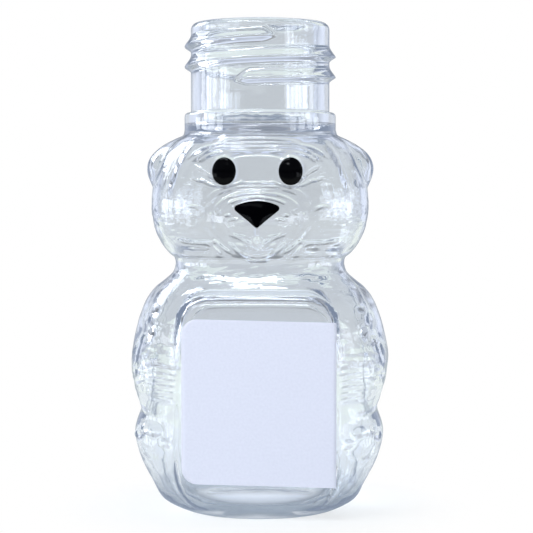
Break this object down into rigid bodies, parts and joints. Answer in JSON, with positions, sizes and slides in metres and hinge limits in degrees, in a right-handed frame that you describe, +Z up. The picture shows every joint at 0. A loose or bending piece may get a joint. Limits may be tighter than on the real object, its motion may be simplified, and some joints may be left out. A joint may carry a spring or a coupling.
{
  "type": "honey bear bottle",
  "caption": "Small clear bear-shaped squeeze bottle for honey, with an open threaded neck, printed black eyes and nose, flat panels front and back and a blank paper label.",
  "frame": {"origin": "centre of the base, on the surface the bottle stands on", "axes": "+Z up along the neck, the bear faces -Y, +X is the bear's left"},
  "size_m": [0.0404, 0.0298, 0.076],
  "materials": {
    "clear_plastic": "clear, glossy, moulded",
    "black_ink": "glossy printed ink",
    "label_paper": "uncoated white paper"
  },
  "bodies": {
    "root": {"bottle": "clear_plastic", "left_eye": "black_ink", "right_eye": "black_ink", "nose": "black_ink", "front_label": "label_paper"}
  },
  "joints": []
}
